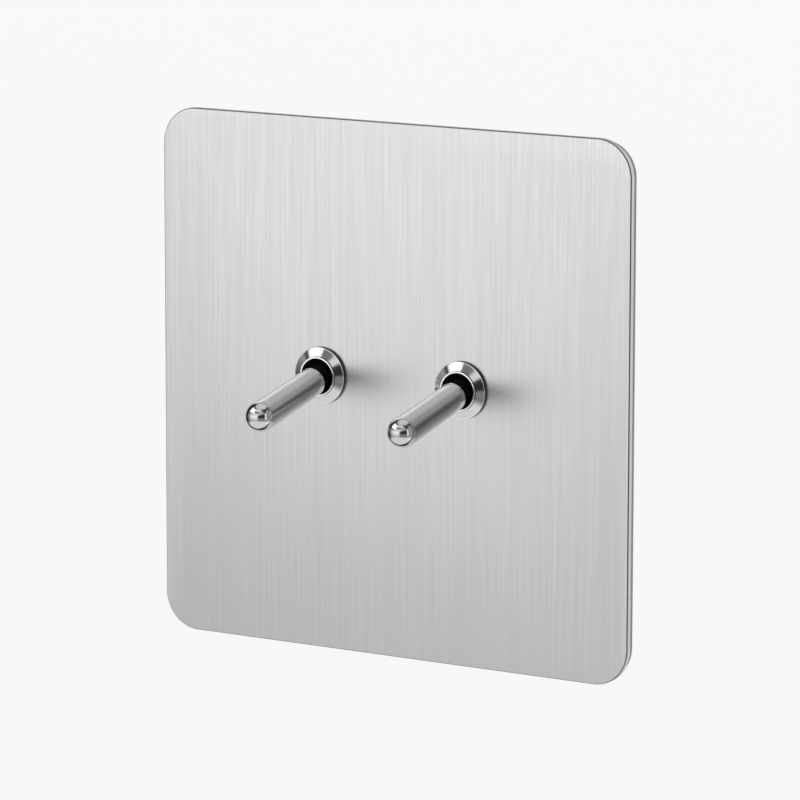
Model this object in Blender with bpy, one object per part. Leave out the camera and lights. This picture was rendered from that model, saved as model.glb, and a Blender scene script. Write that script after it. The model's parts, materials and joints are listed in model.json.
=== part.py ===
"""Two-gang toggle wall switch on a square metal plate, for a flush wall box.

The wall plane is y = 0, the front faces -Y and +Z is up. Lengths below are in millimetres
and degrees; the mesh helpers turn them into Blender's metres.
"""
import math

import bmesh
import bpy

MM = 0.001

# Plates
PLATE_SIZE = 86.0
PLATE_CORNER = 6.0
PLATE_THICKNESS = 1.1
PLATE_ARRIS = 0.2
BACK_SIZE = 85.1
BACK_CORNER = 5.6
BACK_THICKNESS = 1.3
RIM_WIDTH = 5.05
GAP = 0.3
BACK_FRONT_Y = -BACK_THICKNESS
PLATE_REAR_Y = BACK_FRONT_Y - GAP
PLATE_FRONT_Y = PLATE_REAR_Y - PLATE_THICKNESS

# Wall box fixings: a round hole on the left, a slot on the right whose ends are SLOT_HALF apart
FIXING_CENTRES = 60.3
FIXING_SHANK = 1.65
FIXING_LENGTH = 17.0
FIXING_HEAD = 3.45
FIXING_HOLE = 2.25
SLOT_HALF = 1.5
DIMPLE_DEPTH = 1.7
DIMPLE_FLAT = 3.6
DIMPLE_ROOT = 5.0
SEAT_END_Y = 0.6

# Small countersunk screws through the mounting plate
SMALL_HEAD = 1.7
SMALL_SHANK = 1.0
SMALL_LENGTH = 4.2
SMALL_HOLE = SMALL_SHANK + GAP
SMALL_SEAT_Y = -0.35

# Cheese-head terminal screws
CHEESE_HEAD = 2.1
CHEESE_SHANK = 1.3

# Toggles
TOGGLE_SPACING = 26.0
TOGGLE_HEIGHT = 1.5
TOGGLE_SIDES = {"left": -TOGGLE_SPACING / 2, "right": TOGGLE_SPACING / 2}
PIVOT_Y = PLATE_FRONT_Y + 0.2
LEVER_TILT = 12.0

# Collar nut and bushing
COLLAR_RADIUS = 4.6
COLLAR_HEIGHT = 1.1
COLLAR_REAR_Y = PLATE_FRONT_Y - GAP
COLLAR_FRONT_Y = COLLAR_REAR_Y - COLLAR_HEIGHT
MOUTH_RADIUS = 2.95
LIP_ROUND = 0.14
LIP_DEPTH = 0.6
CONE_RADIUS = 4.46
CONE_HEIGHT = 0.9
THREAD_RADIUS = 3.45
THREAD_GAP = 0.25
BARREL_RADIUS = THREAD_RADIUS - THREAD_GAP
BARREL_HOLE = BARREL_RADIUS + GAP
BARREL_BORE = 2.75
BARREL_FRONT_Y = COLLAR_FRONT_Y + LIP_DEPTH + 0.2
LINER_RADIUS = 2.65
LINER_BORE = 2.3
LINER_REAR_Y = -0.6
FLANGE_RADIUS = 5.2
FLANGE_THICKNESS = 1.0

# Lever, measured from its pivot: shoulder and tip in front, ball and tail behind
SHOULDER_REACH = 2.7
TIP_REACH = 18.5
BAR_RADIUS = 2.3
TIP_RADIUS = 2.43
SHOULDER_ROUND = 0.35
SOCKET_RADIUS = 1.5
SOCKET_END = 8.0
SPIGOT_RADIUS = SOCKET_RADIUS - GAP
BALL_RADIUS = 2.2
TAIL_RADIUS = 1.7
TAIL_REACH = 7.5
TAIL_BORE = 1.2
BORE_END = 2.7
PIN_RADIUS = 0.5
PIN_CLEARANCE = 0.1

# Plunger and spring
PLUNGER_RADIUS = 1.05
PLUNGER_CENTRE = 8.5
PLUNGER_PEG = 0.4
PEG_LENGTH = 1.2
SPRING_RADIUS = 0.84
SPRING_WIRE = 0.17
SPRING_TURNS = 5
SPRING_END = 5.6
SPRING_STEPS = 9
WIRE_SIDES = 5

# Rocking contact
ROCK_TILT = 7.0
WING_ANGLE = 10.0
BLADE_THICKNESS = 0.6
BLADE_WIDTH = 3.6
WING_REACH = 6.2
TRUNNION_RADIUS = 0.5
TRUNNION_LENGTH = 6.0
CONTACT_REACH = 5.0
CONTACT_RADIUS = 0.9
CONTACT_THICKNESS = 0.5
RIVET_STEM = 0.35
PEENED_RADIUS = 0.75

# The plunger's nose stands GAP off the wing that it holds down, which fixes the contact's axis
TILT_RADIANS = math.radians(LEVER_TILT)
LEAN_RADIANS = math.radians(WING_ANGLE - ROCK_TILT)
NOSE_Y = PIVOT_Y + PLUNGER_CENTRE * math.cos(TILT_RADIANS)
NOSE_Z = PLUNGER_CENTRE * math.sin(TILT_RADIANS)
NOSE_REACH = (PLUNGER_RADIUS + GAP) / math.cos(LEAN_RADIANS)
FACE_Y = NOSE_Y + NOSE_Z * math.tan(LEAN_RADIANS) + NOSE_REACH
ROCKER_Y = FACE_Y + BLADE_THICKNESS / 2 / math.cos(math.radians(WING_ANGLE))

# Frame: its strap lies in the mounting plate's recess, which is GAP deep
FRAME_THICKNESS = 0.9
FRAME_REAR_Y = FRAME_THICKNESS
FRAME_HEIGHT = 46.0
FRAME_SCREW_Z = 20.0
EAR_WIDTH = 11.0
EAR_CORNER = 3.0
YOKE_HALF = 7.0
LEG_HALF = 6.9
LEG_REAR_Y = 10.0
RIVET_Y = 6.5
RIVET_RADIUS = 0.9
RIVET_LENGTH = 3.5

# Housing and terminals
HOUSING_WIDTH = 16.0
HOUSING_HEIGHT = 33.0
HOUSING_CORNER = 1.2
HOUSING_FRONT_Y = FRAME_REAR_Y + GAP
HOUSING_REAR_Y = 20.5
FLANGE_RECESS_Y = HOUSING_FRONT_Y + FLANGE_THICKNESS + GAP
CHAMBER_WIDTH = 9.0
CHAMBER_HEIGHT = 19.6
PARTITION_Y = (12.0, 13.0)
TERMINAL_PITCH = 10.5
TERMINAL_SIZE = (9.4, 5.0, 6.0)
TERMINAL_FRONT_Y = PARTITION_Y[1] + GAP
TERMINAL_REAR_Y = TERMINAL_FRONT_Y + TERMINAL_SIZE[1]
WIRE_Y = TERMINAL_FRONT_Y + 2.4
WIRE_RADIUS = 1.7
WIRE_ENTRY_RADIUS = 1.9
TAPPED_RADIUS = 1.6
CHEESE_HEIGHT = 1.5
TERMINAL_SCREW_LENGTH = 3.4
ARM_INNER = BLADE_WIDTH / 2 + GAP
ARM_OUTER = ARM_INNER + 0.7
ARM_DEPTH = 2.6
NOTCH_CLEARANCE = 0.08
STRIP_WIDTH = 4.0
STRIP_THICKNESS = 0.8
RISER_Z = 8.2
STRIP_END = 3.4
STRIP_Y = ROCKER_Y + 1.95
STRIP_REAR_Y = STRIP_Y + STRIP_THICKNESS
TERMINAL_ROOT = 1.0

# Earth terminal on the mounting plate
EARTH_Z = -31.0
EARTH_SIZE = 8.0
EARTH_DEPTH = 7.0
EARTH_WIRE_Y = 4.0
EARTH_SCREW_LENGTH = 4.8
EARTH_FIXING_RISE = 2.6

# Sides of a turned shape: large visible ones, bores, and small pins or fasteners
LARGE_SIDES = 28
BORE_SIDES = 18
SMALL_SIDES = 10

STEEL = ("brushed_steel", (0.62, 0.62, 0.62), 0.32, 1.0)
POLISHED = ("polished_steel", (0.70, 0.70, 0.70), 0.12, 1.0)
PLATED = ("zinc_plated_steel", (0.60, 0.61, 0.62), 0.35, 1.0)
BLACKENED = ("blackened_brass", (0.03, 0.03, 0.03), 0.35, 1.0)
BRASS = ("brass", (0.72, 0.55, 0.25), 0.30, 1.0)
COPPER = ("copper_alloy", (0.72, 0.40, 0.25), 0.30, 1.0)
SILVER = ("silver_contact", (0.85, 0.85, 0.83), 0.25, 1.0)
NYLON = ("black_nylon", (0.015, 0.015, 0.016), 0.45, 0.0)
PHENOLIC = ("black_phenolic", (0.02, 0.02, 0.022), 0.38, 0.0)


def clear_scene():
    for item in list(bpy.data.objects):
        bpy.data.objects.remove(item, do_unlink=True)


def material(spec):
    name, colour, roughness, metallic = spec
    made = bpy.data.materials.get(name)
    if made:
        return made
    made = bpy.data.materials.new(name)
    made.use_nodes = True
    shader = made.node_tree.nodes["Principled BSDF"]
    shader.inputs["Base Color"].default_value = (*colour, 1.0)
    shader.inputs["Roughness"].default_value = roughness
    shader.inputs["Metallic"].default_value = metallic
    return made


# Outlines: closed rings of points across the Y axis

def circle(radius, y, count=BORE_SIDES):
    angles = [2 * math.pi * step / count for step in range(count)]
    return [(radius * math.cos(a), y, radius * math.sin(a)) for a in angles]


def stadium(radius, half, y, count=BORE_SIDES):
    """A circle stretched along X by half on each side."""
    points = []
    for x, _, z in circle(radius, y, count):
        side = half if x > 1e-6 else -half
        points.append((x + side, y, z))
    return points


def rounded_rectangle(width, height, corner, y, steps=6):
    points = []
    for quarter, (sx, sz) in enumerate([(1, 1), (-1, 1), (-1, -1), (1, -1)]):
        for step in range(steps + 1):
            angle = math.pi / 2 * (quarter + step / steps)
            x = sx * (width / 2 - corner) + corner * math.cos(angle)
            z = sz * (height / 2 - corner) + corner * math.sin(angle)
            points.append((x, y, z))
    return points


def finish(name, bm, spec, location, rotation, sharp=35.0):
    bmesh.ops.remove_doubles(bm, verts=bm.verts, dist=1e-7)
    bmesh.ops.recalc_face_normals(bm, faces=bm.faces)
    mesh = bpy.data.meshes.new(name)
    bm.to_mesh(mesh)
    bm.free()
    mesh.shade_smooth()
    mesh.set_sharp_from_angle(angle=math.radians(sharp))
    item = bpy.data.objects.new(name, mesh)
    bpy.context.scene.collection.objects.link(item)
    mesh.materials.append(material(spec))
    item.location = [value * MM for value in location]
    item.rotation_euler = [math.radians(value) for value in rotation]
    return item


def loft(name, rings, spec, location=(0, 0, 0), rotation=(0, 0, 0), hollow=False):
    """Skins successive rings; a hollow loft joins its last ring to its first."""
    bm = bmesh.new()
    loops = [[bm.verts.new([value * MM for value in point]) for point in ring] for ring in rings]
    pairs = list(zip(loops, loops[1:]))
    if hollow:
        pairs.append((loops[-1], loops[0]))
    else:
        bm.faces.new(loops[0])
        bm.faces.new(loops[-1])
    for first, second in pairs:
        for index in range(len(first)):
            after = (index + 1) % len(first)
            bm.faces.new([first[index], first[after], second[after], second[index]])
    return finish(name, bm, spec, location, rotation)


def turned(name, profile, spec, location=(0, 0, 0), rotation=(0, 0, 0), count=BORE_SIDES, hollow=False):
    """A body turned about the Y axis from (radius, y) points."""
    rings = [circle(radius, y, count) for radius, y in profile]
    return loft(name, rings, spec, location, rotation, hollow)


def extruded(name, outline, x_range, spec, location=(0, 0, 0), rotation=(0, 0, 0)):
    """A (y, z) outline extruded along X."""
    rings = [[(x, y, z) for y, z in outline] for x in x_range]
    return loft(name, rings, spec, location, rotation)


def box(name, low, high, spec, location=(0, 0, 0), rotation=(0, 0, 0)):
    outline = [(low[1], low[2]), (high[1], low[2]), (high[1], high[2]), (low[1], high[2])]
    return extruded(name, outline, (low[0], high[0]), spec, location, rotation)


def arc(centre, radius, start, end, steps):
    """Points (radius, y) or (y, z) along an arc, angles in degrees."""
    points = []
    for step in range(steps + 1):
        angle = math.radians(start + (end - start) * step / steps)
        points.append((centre[0] + radius * math.cos(angle), centre[1] + radius * math.sin(angle)))
    return points


# Booleans: the tool stays in the file as a hidden wire object

def combine(target, tool, operation):
    tool.hide_render = True
    tool.display_type = "WIRE"
    modifier = target.modifiers.new(tool.name, "BOOLEAN")
    modifier.operation = operation
    modifier.object = tool


def cut(target, tool):
    combine(target, tool, "DIFFERENCE")


def weld(target, tool):
    combine(target, tool, "UNION")


def drill(target, radius, centre, span, along="Y", count=SMALL_SIDES):
    """Cuts a round hole through target, centred at centre and span long."""
    turn = {"X": (0, 0, 90), "Y": (0, 0, 0), "Z": (90, 0, 0)}[along]
    name = f"{target.name}_hole{len(target.modifiers)}"
    profile = [(radius, -span / 2), (radius, span / 2)]
    cut(target, turned(name, profile, STEEL, centre, turn, count))


# Fasteners

def countersunk_screw(name, head, shank, length, location):
    """Plated screw with its head's outer face at location and its shank running to +Y."""
    depth = head - shank
    profile = [(head - 0.1, 0), (head, 0.15), (shank, depth + 0.15)]
    profile += [(shank, length - shank / 2), (shank / 2, length)]
    screw = turned(name, profile, PLATED, location, count=SMALL_SIDES)
    slot_screw(screw, head, depth * 0.55, location)


def cheese_screw(name, length, location):
    """Terminal screw seen from the rear: its head's outer face is at location, its shank runs to -Y."""
    head, shank, turn = CHEESE_HEAD, CHEESE_SHANK, (0, 0, 180)
    profile = [(head - 0.2, 0), (head, 0.2), (head, CHEESE_HEIGHT), (shank, CHEESE_HEIGHT)]
    profile += [(shank, length - 0.3), (shank - 0.3, length)]
    screw = turned(name, profile, PLATED, location, turn, SMALL_SIDES)
    slot_screw(screw, head, CHEESE_HEIGHT * 0.5, location, turn)


def slot_screw(screw, head, depth, location, rotation=(0, 0, 0)):
    """Driver slot, a sixth of the head's diameter wide."""
    reach = head * 1.2
    half = head / 6
    low, high = (-reach, -1, -half), (reach, depth, half)
    cut(screw, box(f"{screw.name}_slot", low, high, STEEL, location, rotation))


# Plate level

def front_plate():
    flat = PLATE_SIZE - 2 * PLATE_ARRIS
    rings = [
        rounded_rectangle(PLATE_SIZE, PLATE_SIZE, PLATE_CORNER, PLATE_REAR_Y),
        rounded_rectangle(PLATE_SIZE, PLATE_SIZE, PLATE_CORNER, PLATE_FRONT_Y + PLATE_ARRIS),
        rounded_rectangle(flat, flat, PLATE_CORNER - PLATE_ARRIS, PLATE_FRONT_Y),
    ]
    plate = loft("front_plate", rings, STEEL)
    for x in TOGGLE_SIDES.values():
        drill(plate, BARREL_HOLE, (x, PLATE_REAR_Y, TOGGLE_HEIGHT), 6, count=BORE_SIDES)


def mounting_plate():
    """Back plate: a flat rim on the wall, a shallow recess inside it, and two dimpled fixings."""
    rings = [rounded_rectangle(BACK_SIZE, BACK_SIZE, BACK_CORNER, y) for y in (BACK_FRONT_Y, 0)]
    plate = loft("mounting_plate", rings, PLATED)
    inside = BACK_SIZE - 2 * RIM_WIDTH
    recess = [rounded_rectangle(inside, inside, 1.5, y, 3) for y in (-GAP, 1)]
    cut(plate, loft("mounting_plate_recess", recess, PLATED))
    for label, side, half in (("hole", -1, 0.0), ("slot", 1, SLOT_HALF)):
        centre = (side * FIXING_CENTRES / 2, 0, 0)
        dimple = [(DIMPLE_ROOT + 0.2, -0.6), (DIMPLE_ROOT, 0), (DIMPLE_FLAT, DIMPLE_DEPTH)]
        seat = [(FIXING_HOLE + SEAT_END_Y + 2.3, -2.3), (FIXING_HOLE, SEAT_END_Y), (FIXING_HOLE, 3)]
        outer = [stadium(radius, half, y) for radius, y in dimple]
        inner = [stadium(radius, half, y) for radius, y in seat]
        weld(plate, loft(f"mounting_plate_{label}_dimple", outer, PLATED, centre))
        cut(plate, loft(f"mounting_plate_{label}_seat", inner, PLATED, centre))
    for x in TOGGLE_SIDES.values():
        drill(plate, BARREL_HOLE, (x, 0, TOGGLE_HEIGHT), 6, count=BORE_SIDES)
        for side in (-1, 1):
            small_seat(plate, (x, 0, TOGGLE_HEIGHT + side * FRAME_SCREW_Z))
    small_seat(plate, (0, 0, EARTH_Z + EARTH_FIXING_RISE))


def small_seat(plate, centre):
    """45 degree countersunk hole for a small screw whose head stays below the plate's front."""
    front = -1.9
    profile = [(SMALL_HOLE + SMALL_SEAT_Y - front, front), (SMALL_HOLE, SMALL_SEAT_Y), (SMALL_HOLE, 2)]
    name = f"mounting_plate_seat{len(plate.modifiers)}"
    cut(plate, turned(name, profile, PLATED, centre, count=SMALL_SIDES))


def fixing_screws():
    for side, x in (("left", -FIXING_CENTRES / 2), ("right", FIXING_CENTRES / 2)):
        location = (x, BACK_FRONT_Y + 0.15, 0)
        countersunk_screw(f"fixing_screw_{side}", FIXING_HEAD, FIXING_SHANK, FIXING_LENGTH, location)


def earth_terminal():
    """Brass block in the recess, screwed from the front, with its wire hole along X."""
    half = EARTH_SIZE / 2
    low, high = (-half, 0, EARTH_Z - half), (half, EARTH_DEPTH, EARTH_Z + half)
    block = box("earth_terminal", low, high, BRASS)
    tap_span = 6.4
    drill(block, WIRE_RADIUS, (0, EARTH_WIRE_Y, EARTH_Z), 20, "X")
    drill(block, TAPPED_RADIUS, (0, EARTH_DEPTH, EARTH_Z), tap_span)
    drill(block, TAPPED_RADIUS, (0, 0, EARTH_Z + EARTH_FIXING_RISE), tap_span)
    head = (0, EARTH_DEPTH + GAP + CHEESE_HEIGHT, EARTH_Z)
    cheese_screw("earth_terminal_screw", EARTH_SCREW_LENGTH, head)
    fixing = (0, BACK_FRONT_Y + 0.1, EARTH_Z + EARTH_FIXING_RISE)
    countersunk_screw("earth_fixing_screw", SMALL_HEAD, SMALL_SHANK, SMALL_LENGTH, fixing)


# One toggle: body pieces that stay with the plate

def collar(side, x):
    """Conical nut: a thread behind, a rolled lip round the mouth in front."""
    rear, front = COLLAR_REAR_Y, COLLAR_FRONT_Y
    lip = arc((MOUTH_RADIUS + LIP_ROUND, front + LIP_ROUND), LIP_ROUND, 30, -180, 5)
    profile = [(THREAD_RADIUS, rear), (COLLAR_RADIUS, rear), (COLLAR_RADIUS, rear - 0.12)]
    profile += [(CONE_RADIUS, front + CONE_HEIGHT)] + lip
    profile += [(MOUTH_RADIUS, front + LIP_DEPTH), (THREAD_RADIUS, front + LIP_DEPTH)]
    turned(f"{side}_collar", profile, POLISHED, (x, 0, TOGGLE_HEIGHT), count=LARGE_SIDES, hollow=True)


def bushing(side, x):
    """Threaded barrel with a rear flange, clamped to the plates by the collar."""
    flange_front = FRAME_REAR_Y + GAP
    flange_rear = flange_front + FLANGE_THICKNESS
    profile = [(BARREL_BORE, BARREL_FRONT_Y), (BARREL_RADIUS, BARREL_FRONT_Y)]
    profile += [(BARREL_RADIUS, flange_front), (FLANGE_RADIUS, flange_front)]
    profile += [(FLANGE_RADIUS, flange_rear), (BARREL_BORE + 0.6, flange_rear)]
    profile += [(BARREL_BORE + 0.15, flange_front), (BARREL_BORE, 0)]
    item = turned(f"{side}_bushing", profile, BLACKENED, (x, 0, TOGGLE_HEIGHT), hollow=True)
    drill(item, PIN_RADIUS + PIN_CLEARANCE, (x, PIVOT_Y, TOGGLE_HEIGHT), 12, "X")


def bearing_liner(side, x):
    """Black sleeve in the barrel's mouth that the lever's ball turns in."""
    profile = [(LINER_BORE, BARREL_FRONT_Y), (LINER_RADIUS, BARREL_FRONT_Y)]
    profile += [(LINER_RADIUS, LINER_REAR_Y), (LINER_BORE, LINER_REAR_Y)]
    item = turned(f"{side}_bearing_liner", profile, NYLON, (x, 0, TOGGLE_HEIGHT), hollow=True)
    drill(item, PIN_RADIUS + PIN_CLEARANCE, (x, PIVOT_Y, TOGGLE_HEIGHT), 12, "X")


def pivot_pin(side, x):
    half = BARREL_RADIUS - 0.1
    bevel = 0.1
    profile = [(PIN_RADIUS - bevel, -half), (PIN_RADIUS, bevel - half)]
    profile += [(PIN_RADIUS, half - bevel), (PIN_RADIUS - bevel, half)]
    turned(f"{side}_pivot_pin", profile, PLATED, (x, PIVOT_Y, TOGGLE_HEIGHT), (0, 0, 90), SMALL_SIDES)


def frame(side, x):
    """Folded steel frame: a front strap with screw ears, and a leg down each side of the housing."""
    leg_inner = HOUSING_WIDTH / 2 + GAP
    leg_outer = leg_inner + FRAME_THICKNESS
    place = (x, 0, TOGGLE_HEIGHT)
    ears = [rounded_rectangle(EAR_WIDTH, FRAME_HEIGHT, EAR_CORNER, y, 4) for y in (0, FRAME_REAR_Y)]
    item = loft(f"{side}_frame", ears, PLATED, place)
    low, high = (-leg_outer, 0, -YOKE_HALF), (leg_outer, FRAME_REAR_Y, YOKE_HALF)
    weld(item, box(f"{side}_frame_yoke", low, high, PLATED, place))
    for label, sign in (("near", -1), ("far", 1)):
        inner, outer = sorted((sign * leg_inner, sign * leg_outer))
        low, high = (inner, 0.1, -LEG_HALF), (outer, LEG_REAR_Y, LEG_HALF)
        weld(item, box(f"{side}_frame_leg_{label}", low, high, PLATED, place))
    drill(item, BARREL_HOLE, place, 6, count=BORE_SIDES)
    drill(item, RIVET_RADIUS + GAP, (x, RIVET_Y, TOGGLE_HEIGHT), 30, "X")
    for sign in (-1, 1):
        drill(item, SMALL_HOLE, (x, 0, TOGGLE_HEIGHT + sign * FRAME_SCREW_Z), 6)


def frame_fasteners(side, x):
    """Two screws through the mounting plate, and a rivet through each leg into the housing."""
    for label, sign in (("lower", -1), ("upper", 1)):
        location = (x, BACK_FRONT_Y + 0.1, TOGGLE_HEIGHT + sign * FRAME_SCREW_Z)
        name = f"{side}_frame_screw_{label}"
        countersunk_screw(name, SMALL_HEAD, SMALL_SHANK, SMALL_LENGTH, location)
    reach = HOUSING_WIDTH / 2 + GAP + FRAME_THICKNESS + GAP
    profile = [(0.5, -0.9), (1.3, -0.6), (1.7, 0), (RIVET_RADIUS, 0)]
    profile += [(RIVET_RADIUS, RIVET_LENGTH - 0.3), (RIVET_RADIUS - 0.3, RIVET_LENGTH)]
    for label, sign in (("a", -1), ("b", 1)):
        location = (x + sign * reach, RIVET_Y, TOGGLE_HEIGHT)
        turned(f"{side}_frame_rivet_{label}", profile, PLATED, location, (0, 0, sign * 90), SMALL_SIDES)


def housing(side, x):
    """Moulded body: open mechanism chamber in front, three terminal pockets behind."""
    place = (x, 0, TOGGLE_HEIGHT)
    ends = (HOUSING_FRONT_Y, HOUSING_REAR_Y)
    rings = [rounded_rectangle(HOUSING_WIDTH, HOUSING_HEIGHT, HOUSING_CORNER, y, 3) for y in ends]
    item = loft(f"{side}_housing", rings, PHENOLIC, place)
    recess = [(FLANGE_RADIUS + GAP, 0), (FLANGE_RADIUS + GAP, FLANGE_RECESS_Y)]
    cut(item, turned(f"{side}_housing_recess", recess, NYLON, place))
    half_w, half_h = CHAMBER_WIDTH / 2, CHAMBER_HEIGHT / 2
    low, high = (-half_w, FLANGE_RECESS_Y - 0.5, -half_h), (half_w, PARTITION_Y[0], half_h)
    cut(item, box(f"{side}_housing_chamber", low, high, NYLON, place))
    low, high = (-half_w, 0, -YOKE_HALF), (half_w, FLANGE_RECESS_Y, YOKE_HALF)
    cut(item, box(f"{side}_housing_front_slot", low, high, NYLON, place))
    length, _, height = TERMINAL_SIZE
    half_l, half_z = length / 2 + GAP, height / 2 + GAP
    for index in (-1, 0, 1):
        z = index * TERMINAL_PITCH
        low, high = (-half_l, PARTITION_Y[1], z - half_z), (half_l, HOUSING_REAR_Y + 1, z + half_z)
        cut(item, box(f"{side}_housing_pocket{index + 1}", low, high, NYLON, place))
        drill(item, WIRE_ENTRY_RADIUS, (x, WIRE_Y, TOGGLE_HEIGHT + z), 20, "X")
    for label, spans in slots().items():
        for number, (x0, x1, z0, z1) in enumerate(spans):
            low = (x0 - GAP, PARTITION_Y[0] - 0.5, z0 - GAP)
            high = (x1 + GAP, PARTITION_Y[1] + 0.5, z1 + GAP)
            cut(item, box(f"{side}_housing_{label}{number}", low, high, NYLON, place))
    drill(item, RIVET_RADIUS + GAP, (x, RIVET_Y, TOGGLE_HEIGHT), 30, "X")


def slots():
    """Where the terminals' risers pass the partition: (x0, x1, z0, z1) of each."""
    strip = STRIP_WIDTH / 2
    arms = [(ARM_INNER, ARM_OUTER), (-ARM_OUTER, -ARM_INNER)]
    return {
        "arm": [(x0, x1, -ARM_DEPTH / 2, ARM_DEPTH / 2) for x0, x1 in arms],
        "upper": [(-strip, strip, RISER_Z, RISER_Z + STRIP_THICKNESS)],
        "lower": [(-strip, strip, -RISER_Z - STRIP_THICKNESS, -RISER_Z)],
    }


# One toggle: terminals and contacts

def terminal_block(name, x, z):
    length, depth, height = TERMINAL_SIZE
    low = (-length / 2, TERMINAL_FRONT_Y, -height / 2)
    high = (length / 2, TERMINAL_FRONT_Y + depth, height / 2)
    return box(name, low, high, BRASS, (x, 0, z))


def drill_terminal(block, x, z):
    drill(block, WIRE_RADIUS, (x, WIRE_Y, z), 20, "X")
    drill(block, TAPPED_RADIUS, (x, TERMINAL_REAR_Y, z), 5.0)


def common_terminal(side, x):
    """Centre terminal whose two notched arms carry the rocking contact."""
    block = terminal_block(f"{side}_common_terminal", x, TOGGLE_HEIGHT)
    notch = TRUNNION_RADIUS + NOTCH_CLEARANCE
    half = ARM_DEPTH / 2
    front = ROCKER_Y - 0.4
    root = TERMINAL_FRONT_Y + TERMINAL_ROOT
    outline = [(root, -half), (front, -half), (front, -notch)]
    outline += arc((ROCKER_Y, 0), notch, -90, 90, 6)
    outline += [(front, notch), (front, half), (root, half)]
    for sign in (-1, 1):
        span = sorted((sign * ARM_INNER, sign * ARM_OUTER))
        label = f"{side}_common_terminal_arm{sign + 1}"
        weld(block, extruded(label, outline, span, BRASS, (x, 0, TOGGLE_HEIGHT)))
    drill_terminal(block, x, TOGGLE_HEIGHT)


def way_terminals(side, x):
    """Upper and lower terminals, each with a strip bent under its fixed contact."""
    strip = STRIP_WIDTH / 2
    outer = RISER_Z + STRIP_THICKNESS
    root = TERMINAL_FRONT_Y + TERMINAL_ROOT
    path = [(STRIP_Y, STRIP_END), (STRIP_Y, outer), (root, outer), (root, RISER_Z)]
    path += [(STRIP_REAR_Y, RISER_Z), (STRIP_REAR_Y, STRIP_END)]
    for label, sign in (("lower", -1), ("upper", 1)):
        z = TOGGLE_HEIGHT + sign * TERMINAL_PITCH
        contact_z = TOGGLE_HEIGHT + sign * CONTACT_REACH
        block = terminal_block(f"{side}_{label}_terminal", x, z)
        outline = [(y, sign * height) for y, height in path]
        place = (x, 0, TOGGLE_HEIGHT)
        weld(block, extruded(f"{side}_{label}_strip", outline, (-strip, strip), BRASS, place))
        drill_terminal(block, x, z)
        drill(block, RIVET_STEM + 0.2, (x, STRIP_Y, contact_z), 4)
        contact_rivet(f"{side}_{label}_fixed_contact", (x, STRIP_Y - GAP, contact_z))


def contact_rivet(name, location):
    """Silver rivet: a domed face to -Y, a stem through the strip and a peened end."""
    stem = STRIP_THICKNESS + 2 * GAP
    profile = [(CONTACT_RADIUS - 0.25, -CONTACT_THICKNESS), (CONTACT_RADIUS, 0.15 - CONTACT_THICKNESS)]
    profile += [(CONTACT_RADIUS, 0), (RIVET_STEM, 0), (RIVET_STEM, stem)]
    profile += [(PEENED_RADIUS, stem), (PEENED_RADIUS - 0.1, stem + 0.3)]
    turned(name, profile, SILVER, location, count=SMALL_SIDES)


def terminal_screws(side, x):
    head_y = TERMINAL_REAR_Y + GAP + CHEESE_HEIGHT
    for label, index in (("lower", -1), ("common", 0), ("upper", 1)):
        location = (x, head_y, TOGGLE_HEIGHT + index * TERMINAL_PITCH)
        cheese_screw(f"{side}_{label}_terminal_screw", TERMINAL_SCREW_LENGTH, location)


# One toggle: moving pieces, each with its origin on its axis

def lever(side, x):
    """Round metal bar with a domed tip at -Y and a rounded shoulder; its rear socket holds the core."""
    dome = arc((0, -TIP_REACH), TIP_RADIUS, -90, 0, 6)
    dome[0] = (0.0, -TIP_REACH - TIP_RADIUS)
    shoulder_centre = (BAR_RADIUS - SHOULDER_ROUND, -SHOULDER_REACH - SHOULDER_ROUND)
    shoulder = arc(shoulder_centre, SHOULDER_ROUND, 0, 90, 3)
    socket = [(SOCKET_RADIUS, -SHOULDER_REACH), (SOCKET_RADIUS, -SOCKET_END), (0.0, -SOCKET_END)]
    place = (x, PIVOT_Y, TOGGLE_HEIGHT)
    turned(f"{side}_lever", dome + shoulder + socket, POLISHED, place, (LEVER_TILT, 0, 0), LARGE_SIDES)


def lever_core(side, x):
    """Moulded core: spigot into the bar, pivot ball and hollow tail for the plunger."""
    place = (x, PIVOT_Y, TOGGLE_HEIGHT)
    spigot = [(0.0, GAP - SOCKET_END), (SPIGOT_RADIUS, GAP - SOCKET_END)]
    first = math.degrees(math.asin(SPIGOT_RADIUS / BALL_RADIUS)) - 90
    last = 90 - math.degrees(math.asin(TAIL_RADIUS / BALL_RADIUS))
    ball = arc((0, 0), BALL_RADIUS, first, last, 6)
    tail = [(TAIL_RADIUS, TAIL_REACH - 0.2), (TAIL_RADIUS - 0.2, TAIL_REACH), (TAIL_BORE, TAIL_REACH)]
    bore = [(TAIL_BORE, BORE_END), (0.0, BORE_END)]
    profile = spigot + ball + tail + bore
    item = turned(f"{side}_lever_core", profile, NYLON, place, (LEVER_TILT, 0, 0), BORE_SIDES)
    drill(item, PIN_RADIUS + PIN_CLEARANCE, place, 8, "X")


def plunger(side, x):
    """Nylon pin: a peg inside the spring and a round nose on the rocking contact."""
    nose = arc((0, PLUNGER_CENTRE), PLUNGER_RADIUS, 0, 90, 3)
    nose[-1] = (0.0, PLUNGER_CENTRE + PLUNGER_RADIUS)
    head_y = SPRING_END + GAP
    peg_y = SPRING_END - PEG_LENGTH
    peg = [(0.0, peg_y), (PLUNGER_PEG, peg_y), (PLUNGER_PEG, head_y), (PLUNGER_RADIUS, head_y)]
    place = (x, PIVOT_Y, TOGGLE_HEIGHT)
    turned(f"{side}_plunger", peg + nose, NYLON, place, (LEVER_TILT, 0, 0), SMALL_SIDES)


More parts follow.
